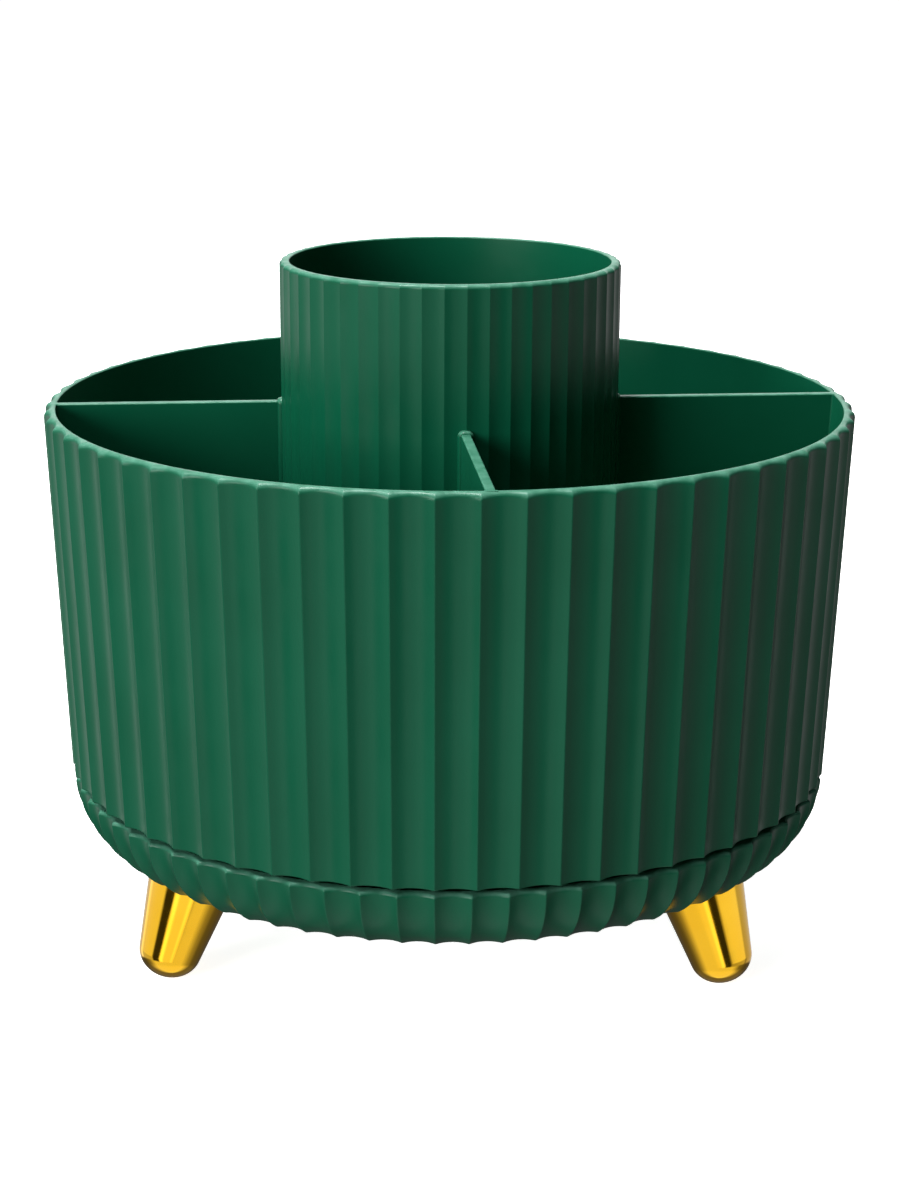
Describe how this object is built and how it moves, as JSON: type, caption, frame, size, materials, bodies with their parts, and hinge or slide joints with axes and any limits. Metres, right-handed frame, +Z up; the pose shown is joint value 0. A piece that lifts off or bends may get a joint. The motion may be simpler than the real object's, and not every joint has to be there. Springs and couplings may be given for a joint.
{
  "type": "rotating makeup organizer",
  "caption": "Fluted round drum with open compartments around a taller centre cup, turning on a ball ring over a shallow tray that stands on splayed feet.",
  "frame": {"origin": "on the floor, under the turning axis", "axes": "+Z up along the turning axis, -Y towards the front, between the two front feet"},
  "size_m": [0.18, 0.18, 0.1562],
  "materials": {
    "drum_green_plastic": "satin",
    "tray_green_plastic": "satin",
    "gold_plating": "polished",
    "cage_white_plastic": "satin",
    "ball_steel": "polished",
    "screw_zinc": "satin"
  },
  "bodies": {
    "base": {"base_tray": "tray_green_plastic", "foot_left": "gold_plating", "foot_right": "gold_plating", "foot_back": "gold_plating", "foot_screw_left": "screw_zinc", "foot_screw_right": "screw_zinc", "foot_screw_back": "screw_zinc"},
    "drum": {"compartment_drum": "drum_green_plastic", "pivot_washer": "screw_zinc", "pivot_screw": "screw_zinc"},
    "cage": {"ball_cage": "cage_white_plastic", "ball_01": "ball_steel", "ball_02": "ball_steel", "ball_03": "ball_steel", "ball_04": "ball_steel", "ball_05": "ball_steel", "ball_06": "ball_steel", "ball_07": "ball_steel", "ball_08": "ball_steel", "ball_09": "ball_steel", "ball_10": "ball_steel", "ball_11": "ball_steel", "ball_12": "ball_steel"}
  },
  "joints": [
    {"name": "drum_spin", "type": "hinge", "parent": "base", "child": "drum", "pos_m": [0, 0, 0.03605], "axis": [0, 0, 1], "continuous": true},
    {"name": "cage_spin", "type": "hinge", "parent": "base", "child": "cage", "pos_m": [0, 0, 0.03605], "axis": [0, 0, 1], "continuous": true}
  ],
  "couplings": [
    {"joint": "cage_spin", "follows": "drum_spin", "ratio": 0.5}
  ]
}
